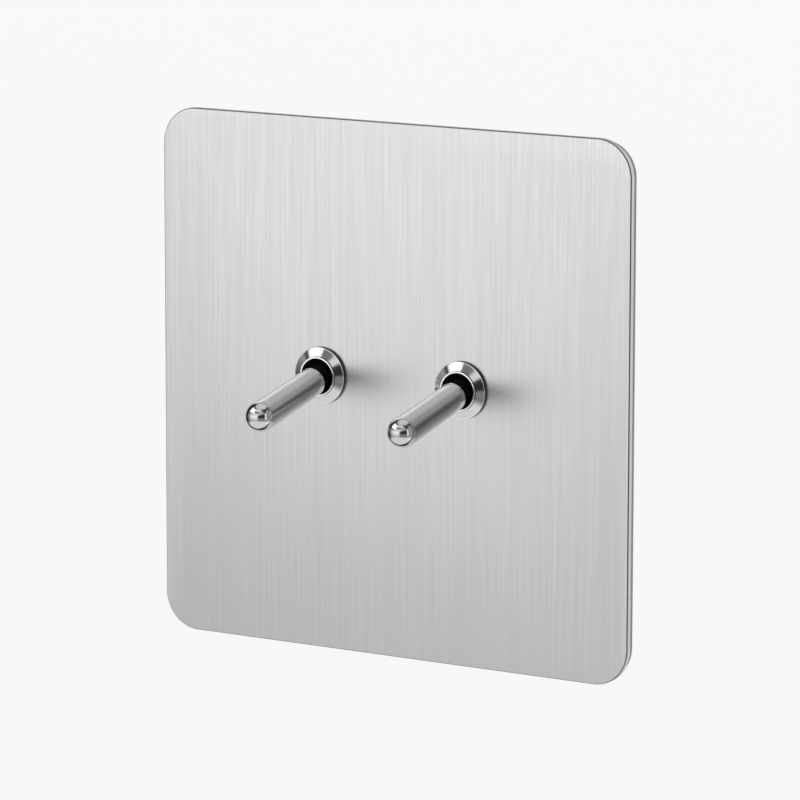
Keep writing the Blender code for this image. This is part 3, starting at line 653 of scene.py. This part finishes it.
def collar(side):
    """Conical nut with a flat rounded lip round its mouth, a fine groove below it and an undercut base."""
    x, _, z = toggle_place(side)
    low, high = extent(f"{side}_collar")
    plate_front = extent("front_plate")[0].y
    outer, front, rear = high.x - x, low.y, plate_front - 0.02
    roll, mouth = 0.17, 2.88
    profile = [(THREAD_RADIUS, rear), (outer - 0.26, rear), (outer - 0.22, rear - 0.03)]
    profile += [(outer - 0.02, front + 1.04), (outer, front + 1.0), (outer, front + 0.9)]
    profile += arc((outer - 0.06, front + 0.88), 0.06, 0, -58, 4)
    foot, top = (outer - 0.12, front + 0.81), (mouth + 2 * roll + 0.03, front + 0.26)
    for share in FLANK:
        profile.append((foot[0] + (top[0] - foot[0]) * share, foot[1] + (top[1] - foot[1]) * share))
    profile += [(mouth + 2 * roll - 0.01, front + 0.3)]
    profile += arc((mouth + 1.45 * roll, front + 0.55 * roll), 0.55 * roll, 20, -90, 8)
    profile += arc((mouth + 0.55 * roll, front + 0.55 * roll), 0.55 * roll, -90, -180, 8)
    profile += [(mouth, front + 0.55), (mouth + 0.05, front + 0.6), (THREAD_RADIUS, front + 0.6)]
    item = turned(f"{side}_collar_nut", profile, at((x, 0, z)), 128, hollow=True, sharp=28)
    place(item, ROOT, "polished_steel", "collar", f"{side}_collar")


def bushing(side):
    """Externally threaded barrel with a rear flange."""
    x, _, z = toggle_place(side)
    low, high = extent(f"{side}_bushing")
    bore, barrel, flange = 2.75, 3.2, high.x - x
    front, rear = low.y, high.y
    count = 48
    bore_points = [(bore + 0.6, rear), (bore + 0.15, rear - 1.0), (bore, 0.0), (bore, front + 0.1)]
    inner = [circle(radius, y, count) for radius, y in bore_points]
    mouth = [circle(bore + 0.1, front, count), circle(barrel - 0.15, front, count)]
    thread = thread_rings(barrel, 0.18, 0.5, front + 0.2, rear - 1.0, count)
    outer = [circle(flange - 0.1, rear - 1.0, count), circle(flange, rear - 0.9, count)]
    outer += [circle(flange, rear - 0.1, count), circle(flange - 0.1, rear, count)]
    item = loft(f"{side}_barrel", inner + mouth + thread + outer, at((x, 0, z)), hollow=True, sharp=35)
    pivot_y = JOINTS[f"{side}_lever_tilt"]["pos_m"][1] / MM
    boolean(item, [drill_tool(PIN_HOLE, (x, pivot_y, z), 12, "X")])
    item.data.set_sharp_from_angle(angle=math.radians(35))
    # Painted shade: the barrel takes the near-black brass, standing in for the shade inside its bore
    place(item, ROOT, "blackened_brass", "bore_shade_dark", f"{side}_bushing")


def bearing_liner(side):
    """Black sleeve in the barrel's mouth."""
    x, _, z = toggle_place(side)
    low, high = extent(f"{side}_bearing_liner")
    outer, bore = high.x - x, 2.3
    profile = [(bore, low.y + 0.1), (bore + 0.1, low.y)]
    profile += [(outer - 0.08, low.y), (outer, low.y + 0.08)]
    profile += [(outer, high.y - 0.08), (outer - 0.08, high.y)]
    profile += [(bore + 0.1, high.y), (bore, high.y - 0.1)]
    item = turned(f"{side}_sleeve", profile, at((x, 0, z)), 64, hollow=True)
    pivot_y = JOINTS[f"{side}_lever_tilt"]["pos_m"][1] / MM
    boolean(item, [drill_tool(PIN_HOLE, (x, pivot_y, z), 12, "X")])
    place(item, ROOT, "black_nylon", "liner", f"{side}_bearing_liner")


def pivot_pin(side):
    low, high = extent(f"{side}_pivot_pin")
    middle = (low + high) / 2
    half, radius = (high.x - low.x) / 2, (high.y - low.y) / 2
    bevel = 0.15
    profile = [(radius - bevel, -half), (radius, bevel - half)]
    profile += [(radius, half - bevel), (radius - bevel, half)]
    item = turned(f"{side}_pivot", profile, at(middle, (0, 0, 90)), 32)
    place(item, ROOT, "screw_steel", "screw", f"{side}_pivot_pin")


def steel_frame(side):
    """Folded strap: ears with screw holes, rounded bends and a leg down each side of the housing."""
    x, _, z = toggle_place(side)
    low, high = extent(f"{side}_frame")
    thick, reach, half_height = 0.9, high.x - x, (high.z - low.z) / 2
    rear, bend, leg_half = high.y, 1.1, 6.95
    inner_bend = bend - thick
    outline = [(reach, rear)] + arc((reach - bend, bend), bend, 0, -90, 6)
    inside = [(reach - thick, rear)] + arc((reach - bend, bend), inner_bend, 0, -90, 4)
    right = outline + [(-px, py) for px, py in outline[::-1]]
    back = [(-px, py) for px, py in inside] + inside[::-1]
    channel = right + back
    rings = [[(px, py, pz) for px, py in channel] for pz in (-leg_half, leg_half)]
    item = loft(f"{side}_folded_frame", rings, at((x, 0, z)))
    width, corner = 11.0, 3.0
    ears = []
    for y, inset in ((0.0, 0.1), (0.1, 0.0), (thick - 0.1, 0.0), (thick, 0.1)):
        height = 2 * (half_height - inset)
        ears.append(rounded_rectangle(width - 2 * inset, height, corner - inset, y, 10))
    boolean(item, [loft("ears", ears, at((x, 0, z)))], "UNION")
    rivet_low, rivet_high = extent(f"{side}_frame_rivet_a")
    rivet_y = (rivet_low.y + rivet_high.y) / 2
    tools = [drill_tool(BARREL_HOLE, (x, 0, z), 6), drill_tool(RIVET_HOLE, (x, rivet_y, z), 30, "X")]
    for end in ("lower", "upper"):
        screw = screw_places()[f"{side}_frame_screw_{end}"]
        tools.append(drill_tool(FRAME_SCREW_HOLE, (screw[0], 0, screw[1]), 6))
    boolean(item, tools)
    item.data.set_sharp_from_angle(angle=math.radians(35))
    place(item, ROOT, "plated_steel", "plated", f"{side}_frame")


TERMINAL_PITCH = 10.5
TERMINAL_FRONT = 13.3
WIRE_DEPTH = 2.4


def housing(side):
    """Moulded body with rounded edges, a mechanism chamber, terminal pockets and flared wire entries."""
    x, _, z = toggle_place(side)
    low, high = extent(f"{side}_housing")
    width, height = high.x - low.x, high.z - low.z
    front, rear = low.y, high.y
    levels = [(front, 0.3), (front + 0.1, 0.1), (front + 0.3, 0.0), (rear - 0.5, 0.0)]
    levels += [(rear - 0.35, 0.04), (rear - 0.15, 0.15), (rear - 0.04, 0.35), (rear, 0.5)]
    rings = []
    for y, inset in levels:
        rings.append(rounded_rectangle(width - 2 * inset, height - 2 * inset, 1.3 - inset, y, 6))
    item = loft(f"{side}_moulded_body", rings, at((x, 0, z)), sharp=30)
    flange = extent(f"{side}_bushing")[1].x - x
    recess_y = front + 1.3
    half_wide, half_high, partition = 4.5, 9.8, 12.0
    chamber_low = (-half_wide, recess_y - 0.5, -half_high)
    chamber_high = (half_wide, partition, half_high)
    tools = [
        turned("cutter", [(flange + 0.3, 0.0), (flange + 0.3, recess_y)], at((x, 0, z))),
        box("cutter", chamber_low, chamber_high, at((x, 0, z))),
        box("cutter", (-half_wide, 0.0, -7.0), (half_wide, recess_y, 7.0), at((x, 0, z))),
    ]
    pocket_wide, pocket_high, pocket_corner = 10.0, 6.6, 0.4
    wire_y = TERMINAL_FRONT + WIRE_DEPTH
    for index in (-1, 0, 1):
        middle = index * TERMINAL_PITCH
        pocket = []
        for y, grow in ((partition + 1.0, 0.0), (rear - 0.5, 0.0), (rear + 0.5, 0.8)):
            corner = pocket_corner + grow / 2
            outline = rounded_rectangle(pocket_wide + grow, pocket_high + grow, corner, y, 4)
            pocket.append([(px, py, pz + middle) for px, py, pz in outline])
        tools.append(loft("cutter", pocket, at((x, 0, z))))
        tools.append(drill_tool(1.9, (x, wire_y, z + middle), width, "X", 0.5))
    arm_slots = [(1.8, 3.1, -1.6, 1.6), (-3.1, -1.8, -1.6, 1.6)]
    strip_slots = [(-2.3, 2.3, 7.9, 9.3), (-2.3, 2.3, -9.3, -7.9)]
    for left, right, bottom, top in arm_slots + strip_slots:
        slot_low, slot_high = (left, partition - 0.5, bottom), (right, partition + 1.5, top)
        tools.append(box("cutter", slot_low, slot_high, at((x, 0, z))))
    rivet_low, rivet_high = extent(f"{side}_frame_rivet_a")
    tools.append(drill_tool(RIVET_HOLE, (x, (rivet_low.y + rivet_high.y) / 2, z), 30, "X"))
    boolean(item, tools)
    item.data.set_sharp_from_angle(angle=math.radians(30))
    place(item, ROOT, "black_phenolic", "phenolic", f"{side}_housing")


def terminals(side):
    """Brass blocks with eased edges and chamfered holes, with the strips that reach the contacts."""
    x, _, z = toggle_place(side)
    rock_y = JOINTS[f"{side}_contact_rock"]["pos_m"][1] / MM
    front, depth = TERMINAL_FRONT, 5.0
    strip_y = rock_y + 1.95
    for label, index in (("lower", -1), ("common", 0), ("upper", 1)):
        middle = Vector((x, 0, z + index * TERMINAL_PITCH))
        low, high = (-4.7, front, -3.0), (4.7, front + depth, 3.0)
        block = rounded_block(f"{side}_{label}_block", low, high, 0.25, at(middle))
        tools = [
            drill_tool(WIRE_HOLE, (x, front + WIRE_DEPTH, middle.z), 9.4, "X", 0.2),
            drill_tool(TERMINAL_SCREW_HOLE, (x, front + depth, middle.z), 5.0),
        ]
        if index:
            outline = [(strip_y, 3.4), (strip_y, 8.5)] + arc((strip_y + 0.5, 8.5), 0.5, 180, 90, 4)
            outline += [(front + 1, 9.0), (front + 1, 8.2), (strip_y + 0.8, 8.2), (strip_y + 0.8, 3.4)]
            outline = [(py, index * pz) for py, pz in outline]
            arms = [extruded("strip", outline, (-2.0, 2.0), at((x, 0, z)))]
            tools.append(drill_tool(0.55, (x, strip_y, z + index * 5.0), 4))
        else:
            notch = 0.58
            outline = [(front + 1, -1.3), (rock_y - 0.3, -1.3)]
            outline += [(rock_y - 0.4, -1.2), (rock_y - 0.4, -notch)]
            outline += arc((rock_y, 0), notch, -90, 90, 16)
            outline += [(rock_y - 0.4, notch), (rock_y - 0.4, 1.2), (rock_y - 0.3, 1.3), (front + 1, 1.3)]
            arms = [extruded("arm", outline, span, at((x, 0, z))) for span in ((-2.8, -2.1), (2.1, 2.8))]
        boolean(block, arms, "UNION")
        boolean(block, tools)
        block.data.set_sharp_from_angle(angle=math.radians(35))
        place(block, ROOT, "brass", "brass", f"{side}_{label}_terminal")


def main_body_pieces(side):
    collar(side)
    bushing(side)
    bearing_liner(side)
    pivot_pin(side)
    steel_frame(side)
    housing(side)
    terminals(side)


# Toggles: moving pieces -----------------------------------------------------

def lever_matrix(side):
    """The lever's own frame: origin on the pivot, tip along its -Y."""
    joint = JOINTS[f"{side}_lever_tilt"]
    tilt = max(joint["range_deg"]) / 2
    return at(Vector(joint["pos_m"]) / MM, (tilt, 0, 0))


def lever(side):
    """Domed round bar, slightly thicker towards its tip, rounded over at its inner end.

    The body's two rings lie close to the dome and the rounding, so that the bar shades straight.
    """
    tip, tip_reach, bar, shoulder, rounding = 2.43, 18.5, 2.3, 2.7, 0.3
    socket, socket_floor = 1.5, -8.0
    dome = arc((0, -tip_reach), tip, -90, 0, 24)
    dome[0] = (0.0, -tip_reach - tip)
    body = [(tip - 0.003, -tip_reach + 0.4), (bar + 0.003, -shoulder - rounding - 0.4)]
    end = arc((bar - rounding, -shoulder - rounding), rounding, 0, 90, 8)
    hollow = [(socket, -shoulder), (socket, socket_floor), (0.0, socket_floor)]
    item = turned(f"{side}_lever_bar", dome + body + end + hollow, lever_matrix(side), FINE, sharp=50)
    place(item, f"{side}_lever", "polished_steel", "lever", f"{side}_lever")


def lever_core(side):
    """Black moulded core with a pivot ball and a hollow tail."""
    ball, tail, spigot, bore = 2.2, 1.7, 1.2, 1.2
    first = math.degrees(math.asin(spigot / ball)) - 90
    last = 90 - math.degrees(math.asin(tail / ball))
    profile = [(0.0, -7.7), (spigot - 0.1, -7.7), (spigot, -7.6)] + arc((0, 0), ball, first, last, 24)
    profile += arc((tail - 0.2, 7.3), 0.2, 0, 90, 4)
    profile += [(bore + 0.1, 7.5), (bore, 7.4), (bore, 2.7), (0.0, 2.7)]
    matrix = lever_matrix(side)
    item = turned(f"{side}_core", profile, matrix, 64)
    pivot = Vector(JOINTS[f"{side}_lever_tilt"]["pos_m"]) / MM
    boolean(item, [drill_tool(PIN_HOLE, pivot, 8, "X", count=24)])
    place(item, f"{side}_lever", "black_nylon", "liner", f"{side}_lever_core")


def plunger(side):
    """Nylon pin with a round nose and a thin stem inside the spring."""
    thick, stem, centre = 1.05, 0.4, 8.5
    nose = arc((0, centre), thick, 0, 90, 10)
    nose[-1] = (0.0, centre + thick)
    profile = [(0.0, 4.4), (stem - 0.1, 4.4), (stem, 4.5), (stem, 5.9)]
    profile += [(thick - 0.1, 5.9), (thick, 6.0)] + nose
    item = turned(f"{side}_pin", profile, lever_matrix(side), 40)
    place(item, f"{side}_plunger", "plunger_nylon", "plunger", f"{side}_plunger")


CARRIED = {
    "plunger_spring": "spring",
    "rocking_contact": "copper",
    "moving_contact": "silver",
    "fixed_contact": "silver",
}


def carried_nodes():
    """Nodes whose CAD shape stays: only their material changes."""
    for name, item in NODES.items():
        for ending, key in CARRIED.items():
            if name.endswith(ending):
                item.data.materials.clear()
                item.data.materials.append(MATERIALS[key])


# Stage ----------------------------------------------------------------------

def stage():
    """Pale floor a metre below, wide enough to fill the photo view's background."""
    size, depth = 30.0, 1.0
    bm = bmesh.new()
    bmesh.ops.create_grid(bm, x_segments=1, y_segments=1, size=size)
    floor = finish("floor", bm, Matrix.Translation((0, 0, -depth)))
    n = Nodes("pale_floor")
    n.set(Base_Color=(0.12, 0.12, 0.12, 1.0), Roughness=0.9)
    n.set(Emission_Color=(1, 1, 1, 1), Emission_Strength=0.845)
    floor.data.materials.append(n.material)
    floor.visible_glossy = False
    floor.visible_diffuse = False


# The studio as seen in reflections: soft-edged panels, each with its azimuth range (from the
# plate's normal towards +X), elevation range, the softness of those edges and its brightness.
# Angles are in degrees
STUDIO = [
    ("fill", -62, 6, -20.5, 14, (30, 5), (23, 4), 1.10),
    ("table", -95, 100, -91, -29, (10, 10), (1, 9), 0.84),
    ("low right", 6, 75, -24, -6, (6, 4), (6, 3), 0.22),
    ("key", -75, -28, 21, 49, (3, 3), (2.5, 2.5), 1.7),
    ("key foot", -30, 22, 15, 26, (3, 3), (2.5, 2.5), 0.85),
    ("upper", -28, 32, 43, 56, (5, 4), (4, 2), 1.0),
    ("upper right", 20, 54, 22, 44, (8, 8), (6, 5), 0.5),
    ("middle", -28, 24, 26, 44, (3, 5), (4, 4), 0.18),
    ("top", -182, 182, 60, 91, (1, 1), (7, 1), 0.72),
    ("strip", 64, 74, -16, 30, (2, 2), (2, 2), 1.3),
    ("right", 80, 112, -50, 45, (5, 5), (5, 5), 0.35),
    ("behind", 125, 181, -60, 60, (10, 1), (10, 10), 0.75),
    ("behind left", -181, -125, -60, 60, (1, 10), (10, 10), 0.42),
]
AMBIENT = 0.03


def window(tree, value, low, high, soft):
    """One between low and high, fading to nothing across each end."""
    parts = []
    for edge, blur, start, end in ((low, soft[0], 0.0, 1.0), (high, soft[1], 1.0, 0.0)):
        fade = tree.nodes.new("ShaderNodeMapRange")
        fade.interpolation_type = "SMOOTHSTEP"
        fade.inputs["From Min"].default_value = math.radians(edge - blur)
        fade.inputs["From Max"].default_value = math.radians(edge + blur)
        fade.inputs["To Min"].default_value = start
        fade.inputs["To Max"].default_value = end
        tree.links.new(value, fade.inputs["Value"])
        parts.append(fade.outputs["Result"])
    return combine(tree, "MULTIPLY", *parts)


def combine(tree, operation, first, second):
    node = tree.nodes.new("ShaderNodeMath")
    node.operation = operation
    for socket, value in zip(node.inputs, (first, second)):
        if isinstance(value, float):
            socket.default_value = value
        else:
            tree.links.new(value, socket)
    return node.outputs["Value"]


def world():
    """Soft studio for lighting and reflections; the camera sees a plain pale backdrop instead."""
    made = bpy.data.worlds.new("studio")
    bpy.context.scene.world = made
    made.use_nodes = True
    tree = made.node_tree
    where = tree.nodes.new("ShaderNodeTexCoord")
    split = tree.nodes.new("ShaderNodeSeparateXYZ")
    tree.links.new(where.outputs["Generated"], split.inputs["Vector"])
    ahead = combine(tree, "MULTIPLY", split.outputs["Y"], -1.0)
    azimuth = combine(tree, "ARCTAN2", split.outputs["X"], ahead)
    elevation = combine(tree, "ARCSINE", split.outputs["Z"], 0.0)
    total = None
    for _, left, right, bottom, top, soft_across, soft_along, level in STUDIO:
        across = window(tree, azimuth, left, right, soft_across)
        along = window(tree, elevation, bottom, top, soft_along)
        panel = combine(tree, "MULTIPLY", combine(tree, "MULTIPLY", across, along), level)
        total = combine(tree, "ADD", panel, total or AMBIENT)
    studio = tree.nodes["Background"]
    tree.links.new(total, studio.inputs["Color"])
    backdrop = tree.nodes.new("ShaderNodeBackground")
    backdrop.inputs["Color"].default_value = (0.925, 0.925, 0.925, 1)
    rays = tree.nodes.new("ShaderNodeLightPath")
    mix = tree.nodes.new("ShaderNodeMixShader")
    tree.links.new(rays.outputs["Is Camera Ray"], mix.inputs["Fac"])
    tree.links.new(studio.outputs["Background"], mix.inputs[1])
    tree.links.new(backdrop.outputs["Background"], mix.inputs[2])
    tree.links.new(mix.outputs["Shader"], tree.nodes["World Output"].inputs["Surface"])


def camera():
    """The photo's view, as an azimuth from the plate's normal, an elevation and a small roll."""
    azimuth, elevation, roll = math.radians(31.24), math.radians(9.834), math.radians(0.05)
    distance = 0.8053
    target = Vector((-1.16, extent("front_plate")[0].y, 4.366)) * MM
    flat = math.cos(elevation)
    back = Vector((math.sin(azimuth) * flat, -math.cos(azimuth) * flat, math.sin(elevation)))
    right = Vector((math.cos(azimuth), math.sin(azimuth), 0))
    up = back.cross(right)
    turned_right = right * math.cos(roll) + up * math.sin(roll)
    turned_up = up * math.cos(roll) - right * math.sin(roll)
    data = bpy.data.cameras.new("camera")
    data.lens, data.sensor_width = 228.4, 36.0
    data.shift_x, data.shift_y = 0.0192, -0.0447
    item = bpy.data.objects.new("camera", data)
    bpy.context.scene.collection.objects.link(item)
    axes = Matrix((turned_right, turned_up, back)).transposed().to_4x4()
    item.matrix_world = Matrix.Translation(target + back * distance) @ axes
    bpy.context.scene.camera = item


def main():
    camera()
    front_plate()
    mounting_plate()
    fasteners()
    earth_terminal()
    for side in SIDES:
        main_body_pieces(side)
        lever(side)
        lever_core(side)
        plunger(side)
    carried_nodes()
    stage()
    world()
    bpy.context.scene.view_settings.view_transform = "Standard"


main()
